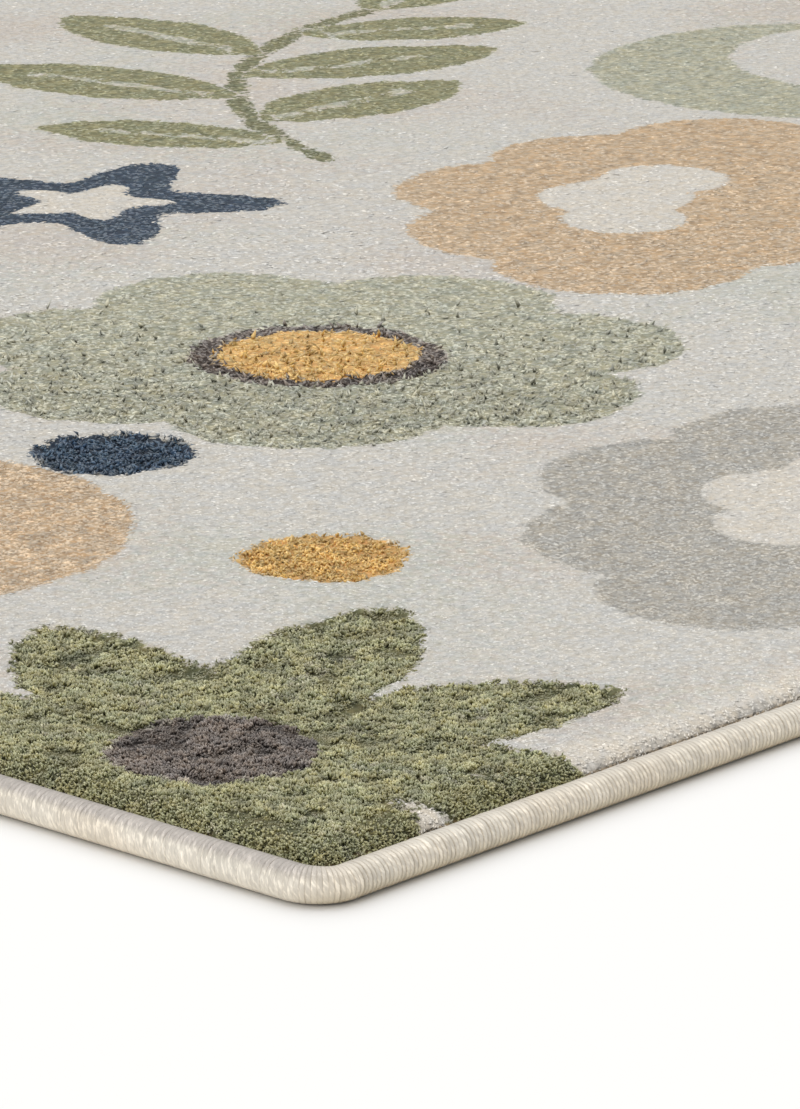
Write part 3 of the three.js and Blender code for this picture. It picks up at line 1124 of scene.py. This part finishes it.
def pile_grid(pitch):
    """Places all over the pile, one pitch apart."""
    along_x = np.arange(PILE_EDGE - HALF_LENGTH, HALF_LENGTH - PILE_EDGE, pitch)
    along_y = np.arange(PILE_EDGE - HALF_WIDTH, HALF_WIDTH - PILE_EDGE, pitch)
    return [grid.ravel() for grid in np.meshgrid(along_x, along_y, indexing="ij")]


def blooming_ends(draw, wanted):
    """Roots of tufts in yarn ends, each of which opens out from its own middle. Returns the middles' places,
    each root's place within its yarn end, from -1 to 1, and which yarn end it is in."""
    x, y = pile_grid(YARN_END_PITCH)
    kept = wanted(x, y) > 0.001
    x = x[kept] + draw.uniform(-0.5, 0.5, kept.sum())
    y = y[kept] + draw.uniform(-0.5, 0.5, kept.sum())
    count = np.floor(wanted(x, y) * YARN_END_PITCH ** 2 + draw.random(len(x))).astype(int)
    middle_x = np.repeat(x, count)
    middle_y = np.repeat(y, count)
    own = np.repeat(np.arange(len(x)), count)
    radius = np.sqrt(draw.random(len(own)))
    angle = draw.uniform(0, TURN, len(own))
    within = np.stack([radius * np.cos(angle), radius * np.sin(angle)])
    return middle_x, middle_y, within, own


def scattered_roots(draw, pitch, wanted):
    """Places on a loose grid, kept with the chance that wanted gives them."""
    x, y = pile_grid(pitch)
    kept = draw.random(len(x)) < wanted(x, y) * pitch * pitch
    x = x[kept] + draw.uniform(-0.45, 0.45, kept.sum()) * pitch
    y = y[kept] + draw.uniform(-0.45, 0.45, kept.sum()) * pitch
    return x, y


def along_rim(value, above, given, wanted):
    """Reads the rim's profile above a height: the wanted measure where the given one has a value."""
    upper = [row for row in RIM_PROFILE if row["height"] > above]
    return np.interp(value, [row[given] for row in upper], [row[wanted] for row in upper])


def rim_height(inset):
    return along_rim(inset, 6, "inset", "height")


def close_share(x, y):
    """How far the close tufts take part, against the broader ones further off."""
    return smooth_step(0.40, 0.95, tuft_density(x, y))


def hollow_at(x, y):
    """Where the pile parts between clumps of tufts, from 0 to 1."""
    return smooth_step(0.10, 0.70, soft_noise(x, y, 6.5, 63))


def level_tufts(draw, x, y, within, own):
    """Tufts on the level pile and its rounded shoulder."""
    inset = inset_of(x, y)
    density = np.maximum(tuft_density(x, y), 0.09)
    paleness = paleness_of(x, y)
    root = rim_height(inset) + bed_height(x, y) - ROOT_DEPTH
    lift = draw.normal(0, 0.30, own.max() + 1)[own] + 0.30 * soft_noise(x, y, 5.5, 61) - 1.4 * hollow_at(x, y)
    lift += draw.normal(0, 0.12, len(x)) - 1.25 * (within[0] ** 2 + within[1] ** 2)
    lift *= 1 - 0.65 * paleness
    sparse = 1 - smooth_step(0.8, 3.0, density)
    tip = TIP_HEIGHT - 0.35 * paleness + pile_lift(x, y) + lift
    tip = tip - (PILE_TOP - rim_height(inset)) * 0.80 - 0.45 * sparse
    length = np.clip(tip - root, 0.6, 3.2)
    push = 0.65 * smooth_step(20, 11, inset)
    out_x = np.sign(x) * (HALF_LENGTH - np.abs(x) < 20) * push
    out_y = np.sign(y) * (HALF_WIDTH - np.abs(y) < 20) * push
    lean_x = 0.55 * within[0] + draw.normal(0, 0.24, len(x)) + 0.40 * soft_noise(x, y, 9, 21) + out_x
    lean_y = 0.55 * within[1] + draw.normal(0, 0.24, len(x)) + 0.40 * soft_noise(x, y, 9, 22) + out_y
    lie_down = 1 + 2.6 * paleness + 0.9 * sparse
    grows = np.stack([lean_x * lie_down, lean_y * lie_down, np.ones(len(x))], axis=1)
    length = np.minimum(length * np.linalg.norm(grows, axis=1), np.maximum(length, 2.0))
    width = np.clip(0.44 * np.sqrt(DENSEST / density), 0.42, 2.0) * draw.uniform(0.7, 1.35, len(x))
    return root, grows, width, length


def rim_tufts(draw):
    """Tufts on the pile's side, which hang out over the crease by the binding."""
    places = []
    rows = [(0, -1, HALF_LENGTH, HALF_WIDTH), (0, 1, HALF_LENGTH, HALF_WIDTH),
            (-1, 0, HALF_WIDTH, HALF_LENGTH), (1, 0, HALF_WIDTH, HALF_LENGTH)]
    for sign_x, sign_y, half_run, half_across in rows:
        count = int(2 * half_run * RIM_BAND * RIM_DENSEST)
        run = draw.uniform(-half_run + 10.5, half_run - 10.5, count)
        height = draw.uniform(5.5, 9.7, count)
        inset = along_rim(height, 4, "height", "inset") + 0.15
        x = run if sign_x == 0 else sign_x * (half_across - inset)
        y = run if sign_y == 0 else sign_y * (half_across - inset)
        wanted = np.maximum(RIM_SPARSEST, tuft_density(x, y) * RIM_DENSEST / DENSEST)
        kept = draw.random(count) < wanted / RIM_DENSEST
        places.append(np.stack([x, y, height, np.full(count, sign_x), np.full(count, sign_y)])[:, kept])
    x, y, height, out_x, out_y = np.concatenate(places, axis=1)
    past_x = np.exp(-np.maximum(0, HALF_LENGTH - 10 - np.abs(x)) / 1.6)
    past_y = np.exp(-np.maximum(0, HALF_WIDTH - 10 - np.abs(y)) / 1.6)
    out_x = np.where(out_x == 0, np.sign(x) * past_x, out_x)
    out_y = np.where(out_y == 0, np.sign(y) * past_y, out_y)
    rise = 0.10 + 1.3 * smooth_step(5.5, 10.0, height)
    grows = np.stack([out_x + draw.normal(0, 0.28, len(x)), out_y + draw.normal(0, 0.28, len(x)),
                      rise + draw.normal(0, 0.22, len(x))], axis=1)
    width = np.clip(0.48 * np.sqrt(DENSEST / np.maximum(tuft_density(x, y), 0.12)), 0.45, 2.0)
    length = draw.uniform(1.2, 2.0, len(x)) + 0.35 * soft_noise(x, y, 6, 71)
    return x, y, height - 0.2, grows, width * draw.uniform(0.8, 1.25, len(x)), length


def tuft_rows(x, y, at_x, at_y, placed, shade):
    """One group of tufts. at_x and at_y say where each one takes its colour."""
    root, grows, width, length = placed
    return {"x": x, "y": y, "at_x": at_x, "at_y": at_y, "root": root, "grows": grows, "width": width,
            "length": length, "shade": shade}


def close_tufts(draw):
    """Tufts of single strands where the photograph looks from close by, in blooming yarn ends."""
    def wanted(x, y):
        return tuft_density(x, y) * close_share(x, y) * (1 - 0.86 * paleness_of(x, y))

    at_x, at_y, within, own = blooming_ends(draw, wanted)
    x = at_x + within[0] * YARN_END_RADIUS
    y = at_y + within[1] * YARN_END_RADIUS
    inside = inset_of(x, y) > PILE_EDGE - 0.5
    x, y, at_x, at_y, own = (numbers[inside] for numbers in (x, y, at_x, at_y, own))
    within = within[:, inside]
    placed = level_tufts(draw, x, y, within, own)
    # Painted shade: tufts are darker in the pile's hollows and towards the outside of each yarn end; the rest
    # of their shade differs at random.
    hollow = hollow_at(x, y) * (1 - paleness_of(at_x, at_y))
    shade = draw.normal(1.08, 0.16, own.max() + 1)[own] + 0.10 * soft_noise(x, y, 9, 81) - 0.44 * hollow
    shade -= 0.34 * (within[0] ** 2 + within[1] ** 2)
    return tuft_rows(x, y, at_x, at_y, placed, shade * draw.normal(1.0, 0.08, len(x)))


def far_tufts(draw):
    """Broader and sparser tufts further off."""
    def wanted(x, y):
        density = tuft_density(x, y)
        shoulder = np.where(inset_of(x, y) < 16, 0.08, 0)
        share = np.maximum(density * (1 - close_share(x, y)), shoulder * (density < 0.40))
        return share * (1 - 0.75 * paleness_of(x, y))

    x, y = scattered_roots(draw, FAR_PITCH, wanted)
    placed = level_tufts(draw, x, y, np.zeros((2, len(x))), np.arange(len(x)))
    at_x = x + draw.normal(0, 0.6, len(x))
    at_y = y + draw.normal(0, 0.6, len(x))
    return tuft_rows(x, y, at_x, at_y, placed, draw.normal(1.0, 0.17, len(x)))


def thinned_rim_tufts(draw, x, y, *placed):
    """The side's tufts. Few are kept in pale yarn, and there they are painted lighter, against the shade on
    the pile's side.
    """
    rim = tuft_rows(x, y, x, y, placed, draw.normal(1.0, 0.10, len(x)))
    pale = smooth_step(0.30, 0.75, paleness_of(x, y))
    kept = draw.random(len(pale)) > 0.84 * pale
    # Painted light: pale tufts on the pile's side are made lighter.
    rim["shade"] += 0.25 * pale
    return {label: numbers[kept] for label, numbers in rim.items()}


def make_tufts(material, carpet):
    """All the tufts: curls stand in dark yarn, and ridges lie in pale yarn and far off."""
    draw = np.random.default_rng(2024)
    groups = {"near": close_tufts(draw), "far": far_tufts(draw),
              "rim": thinned_rim_tufts(draw, *rim_tufts(draw))}
    stands = []
    for group, rows in groups.items():
        areas = design_areas(rows["at_x"], rows["at_y"])
        pale = own_paleness(areas)
        rows["pale"] = pale
        rows["edge"] = rim_blush_and_light_share(rows["x"], rows["y"])
        rows.update({"area_" + name: area for name, area in areas.items()})
        # Painted glints: a few tufts of pale yarn are made lighter.
        glint = np.where(draw.random(len(pale)) < 0.16 * pale, 0.17, 0)
        rows["shade"] = 1 + (rows["shade"] - 1) * (1 - 0.52 * pale ** 2) + glint
        # Painted shade: far tufts, most of all in dark yarn, are made darker for the shade that they do not
        # cast.
        if group == "far":
            rows["shade"] *= 0.76 + 0.24 * pale
        lies = 1.0 if group == "far" else smooth_step(0.42, 0.60, pale)
        stands.append(draw.random(len(pale)) >= lies)
        rows["point"] = np.stack([*wandered(rows["x"], rows["y"]), rows.pop("root")], axis=1)
    stands = np.concatenate(stands)
    tufts = {label: np.concatenate([rows[label] for rows in groups.values()]) for label in groups["near"]}
    ridges = {label: numbers[~stands] for label, numbers in tufts.items()}
    lie_ridges_down(draw, ridges, carpet)
    kinds = [
        {"name": "pile_curls", "rows": {label: numbers[stands] for label, numbers in tufts.items()},
         "templates": curl_templates()},
        {"name": "pile_ridges", "rows": ridges, "templates": ridge_templates()},
    ]
    pieces = []
    for kind in kinds:
        rows = kind["rows"]
        count = len(rows["x"])
        tree, inputs = placing_tree("place_" + kind["name"], kind["templates"], material,
                                    labels=("Length", "Width", "Turn", "Seed"),
                                    sizes=("Width", "Width", "Length"), turn=grown_turn, seed_shift=17.0)
        thick = rows["width"] / CURL_THICKNESS
        values = {label: rows[label] for label in rows if label.startswith("area_")}
        values["shade"] = np.clip(rows["shade"], 0.6, 1.4)
        values["edge"] = rows["edge"]
        values["grows"] = rows["grows"]
        across = thick * draw.uniform(0.75, 1.1, count)
        values["size"] = np.stack([thick, across, rows["length"] / CURL_HEIGHT], axis=1)
        order = np.argsort(ahead_and_across(rows["x"], rows["y"])[0])
        parts = math.ceil(count * FACES_IN_A_TUFT / MOST_FACES_IN_A_PIECE)
        for number, part in enumerate(np.array_split(order, parts)):
            pieces.append(place_pieces(
                f"{kind['name']}_{number + 1}", rows["point"][part],
                {label: numbers[part] for label, numbers in values.items()},
                tree, inputs, material, Length=1.0, Width=1.0, Turn=TURN, Seed=31 + number))
    return pieces


def lie_ridges_down(draw, rows, carpet):
    """Sets ridges on the bed's surface, square to it."""
    surface = BVHTree.FromObject(carpet, bpy.context.evaluated_depsgraph_get())
    places = []
    facing = []
    for point in rows["point"]:
        place, normal, _, _ = surface.find_nearest(Vector(point * MM))
        places.append(place / MM)
        facing.append(normal)
    rows["point"] = np.array(places)
    rows["grows"] = np.array(facing) + draw.normal(0, 0.05, (len(facing), 3))
    rows["width"] = 0.80 * np.minimum(rows["width"] / CURL_THICKNESS, 2.0) ** 0.8
    height = draw.uniform(0.20, 0.40, len(facing)) * (1 - 0.40 * rows["pale"])
    rows["length"] = CURL_HEIGHT * height


# Binding

# Sections of a wrap, across it: each point's place, how low it lies, and how far it is tucked under besides
FULL_SECTION = [(-0.82, -0.34, 0.35), (-0.63, -0.24, 0.0), (-0.32, -0.05, 0.0),
                (0.32, -0.05, 0.0), (0.63, -0.24, 0.0), (0.82, -0.34, 0.35)]
PLAIN_SECTION = [(-0.82, -0.36, 0.0), (0.0, 0.0, 0.0), (0.82, -0.36, 0.0)]

# A wrap goes round the section from its first angle to its last, in degrees. The finest wraps lie within
# reach of the photographed corner.
WRAP_PITCH = 1.37
WRAP_FIRST = 20
WRAP_LAST = 278
WRAPS_AT_A_CORNER = 15
CLOSE_WRAPS_REACH = 190

# The templates' own height, and where the bend of each one starts, as a share of a wave
TEMPLATE_HEIGHT = 8.25
WRAP_WAVES = (0.05, 0.3, 0.65)


def section_point(angle, height, out=0.0):
    """A point of the binding's round section, as an inset and a height. The angle goes from the floor's side,
    over the outer side and the top, to the carpet's side. out lifts it off the section."""
    sink = 0.15
    half_up = (height + sink) / 2
    half_across = BINDING_WIDTH / 2
    squarer = 0.86 if math.cos(angle) > 0 else 1.0
    across = math.copysign(abs(math.sin(angle)) ** squarer, math.sin(angle))
    up = math.copysign(abs(math.cos(angle)) ** squarer, math.cos(angle))
    inset = half_across - (half_across + out) * across
    level = (half_up - sink) - (half_up + out) * up
    return inset, level


def strand_template(name, steps, section, wave, groove, fanned):
    """One wrap of yarn over the binding, closed at its hidden ends. x runs along the rug's edge, y inwards.
    wave is where its sideways bend starts, and groove how deep its edges lie, which is less on the top. A
    fanned one is at a corner, where the wraps draw together towards the carpet."""
    first = math.radians(WRAP_FIRST)
    last = math.radians(WRAP_LAST)
    points = []
    along = []
    across = []
    crest = []
    for step in range(steps + 1):
        share = step / steps
        angle = first + (last - first) * share
        tuck = 0.55 if step in (0, steps) else 0.0
        bend = 0.07 * math.sin(TURN * (1.15 * share + wave))
        deep = groove * (1 - 0.92 * float(smooth_step(0.37, 0.52, share)))
        for side, out, under in section:
            inset, level = section_point(angle, TEMPLATE_HEIGHT, out * deep - under - tuck)
            narrower = 1 - max(0.0, inset) / CORNER_RADIUS if fanned else 1.0
            points.append(((side + bend) * narrower, inset, max(0.05, level)))
            along.append(share)
            across.append(0.5 + side / 1.5)
            crest.append((out + 0.34) / 0.34)
    sides = len(section)
    faces = lap_faces(sides, steps)
    faces.append(list(range(sides))[::-1])
    faces.append([steps * sides + side for side in range(sides)])
    mesh = new_mesh(name, points, faces)
    shown = [number < steps * sides and number % sides < sides - 1 for number in range(len(faces))]
    mesh.polygons.foreach_set("use_smooth", shown)
    set_values(mesh, "along", along)
    set_values(mesh, "across", across)
    set_values(mesh, "crest", crest)
    return new_object(name, mesh)


def wrap_places():
    """The middle line of every wrap: its place on the outer edge, which way is inwards, and its section."""
    straight_x = 2 * (HALF_LENGTH - CORNER_RADIUS)
    straight_y = 2 * (HALF_WIDTH - CORNER_RADIUS)
    rows = []
    for number, (sign_x, sign_y, start) in enumerate(CORNERS):
        for step in range(WRAPS_AT_A_CORNER):
            rows.append((sign_x, sign_y, TURN * (start + 0.25 * (step + 0.5) / WRAPS_AT_A_CORNER), 0.0))
        count = round((straight_x if number % 2 == 0 else straight_y) / WRAP_PITCH)
        for step in range(count):
            rows.append((sign_x, sign_y, TURN * (start + 0.25), (step + 0.5) / count))
    return np.array(rows)


def short_side_share(stations):
    """1 on the rug's short sides, 0 on its long ones, and between the two round a corner."""
    return np.abs(np.cos(stations[:, 2])) ** 2


def binding_height(share):
    """The binding's height, by the share of the short side's."""
    return BINDING_HEIGHT_LONG_SIDE + share * (BINDING_HEIGHT_SHORT_SIDE - BINDING_HEIGHT_LONG_SIDE)


def make_binding_core(material):
    """The smooth ring under the wraps, which closes the edge from below."""
    lines_x = np.linspace(-HALF_LENGTH, HALF_LENGTH, 61)
    lines_y = np.linspace(-HALF_WIDTH, HALF_WIDTH, 43)
    stations = lap_stations(lines_x, lines_y, 8)
    lap = len(stations)
    around = 15
    points = []
    along = []
    share = short_side_share(stations)
    for step in range(around):
        angle = TURN * step / around
        along += [(math.degrees(angle) - WRAP_FIRST) / (WRAP_LAST - WRAP_FIRST)] * lap
        out = -0.27 + 0.15 * float(smooth_step(0.80, 0.95, math.cos(angle)))
        inset, level = np.array([section_point(angle, tall, out) for tall in binding_height(share)]).T
        ring = [ring_at(stations[i:i + 1], inset[i]) for i in range(lap)]
        x, y = np.array(ring)[:, :, 0].T
        points.append(np.stack([*wandered(x, y), np.maximum(0.0, level)], axis=1))
    mesh = new_mesh("binding_core", np.concatenate(points), lap_faces(lap, around, closed=True))
    set_values(mesh, "along", along)
    set_values(mesh, "short_side", np.tile(share, around))
    # The core, which shows between the wraps, gets painted groove shade and is made a little darker.
    for label, value in (("across", 0.5), ("crest", 0.25), ("shade", 0.92)):
        set_values(mesh, label, np.full(len(mesh.vertices), value))
    return new_object("binding_core", mesh, material)


def make_binding(material):
    """The core and its wraps: finest by the photographed corner, plainer along the rest of the edge."""
    draw = np.random.default_rng(77)
    stations = wrap_places()
    x, y = ring_at(stations, 0.0)
    count = len(x)
    side_share = short_side_share(stations)
    on_left = side_share > 0.5
    at_corner = stations[:, 3] == 0
    uneven = np.where(at_corner | on_left, 0.25, 1.0)
    heading = stations[:, 2] + draw.normal(0, 0.006, count) * uneven
    swell = np.clip(1 + 0.06 * draw.normal(0, 1, count), 0.8, 1.25)
    width = np.where(at_corner, 1.16, 1.10) * swell
    height = binding_height(side_share) * (1 + draw.normal(0, 0.004, count) * uneven)
    values = {
        "shade": np.clip(draw.normal(1.0, 0.05, count), 0.85, 1.12),
        "short_side": side_share,
        "faces": heading + math.pi / 2,
        "size": np.stack([width, np.ones(count), height / TEMPLATE_HEIGHT], axis=1),
    }
    points = np.stack([*wandered(x, y), np.zeros(count)], axis=1)
    straight = ~at_corner
    near = np.hypot(x + HALF_LENGTH, y + HALF_WIDTH) < CLOSE_WRAPS_REACH
    photographed = ~near & ((x - y < -140) | (y < -590) & (x < -200) | (x < -840) & (y < 0))
    kinds = [
        {"name": "turn", "chosen": at_corner, "steps": 12, "section": FULL_SECTION,
         "groove": 0.40, "wobble": 0.003},
        {"name": "corner", "chosen": near & ~on_left & straight, "steps": 12, "section": FULL_SECTION,
         "groove": 1.12, "wobble": 0.010},
        {"name": "corner_left", "chosen": near & on_left & straight, "steps": 12, "section": FULL_SECTION,
         "groove": 0.25, "wobble": 0.0025},
        {"name": "near", "chosen": photographed & straight, "steps": 6, "section": PLAIN_SECTION,
         "groove": 0.8, "wobble": 0.010},
        {"name": "far", "chosen": ~near & ~photographed & straight, "steps": 5, "section": PLAIN_SECTION,
         "groove": 0.8, "wobble": 0.010},
    ]
    pieces = [make_binding_core(material)]
    for kind in kinds:
        name = "binding_wraps_" + kind["name"]
        templates = [strand_template(f"{name}_one_{wave}", kind["steps"], kind["section"], wave,
                                     kind["groove"], kind["name"] == "turn") for wave in WRAP_WAVES]
        tree, inputs = placing_tree("place_" + name, templates, material,
                                    labels=("Thickness", "Wobble", "Seed"),
                                    sizes=("Thickness", None, None), turn=wound_turn, seed_shift=9.0)
        chosen = kind["chosen"]
        pieces.append(place_pieces(
            name, points[chosen], {label: numbers[chosen] for label, numbers in values.items()},
            tree, inputs, material, Thickness=1.0, Wobble=kind["wobble"], Seed=5))
    return pieces


# Putting it together

def remove_templates():
    """Removes the single curls, ridges and wraps that the placed pieces were made from."""
    for piece in list(bpy.context.scene.objects):
        if piece.name.startswith(("curl_", "ridge_")) or "_one_" in piece.name:
            bpy.data.objects.remove(piece)


def main():
    """Makes every piece, and says what each one rides on and replaces."""
    bpy.context.scene.view_settings.view_transform = "Standard"
    make_camera()
    make_light()
    floor = make_floor()
    carpet = make_carpet(make_bed_material(), make_back_material())
    tufts = make_tufts(make_tuft_material(), carpet)
    binding = make_binding(make_binding_material())
    remove_templates()
    for piece in [carpet, *tufts]:
        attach(piece, "root")
        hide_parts("pile_carpet")
    for piece in binding:
        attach(piece, "root")
        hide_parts("edge_binding")


main()
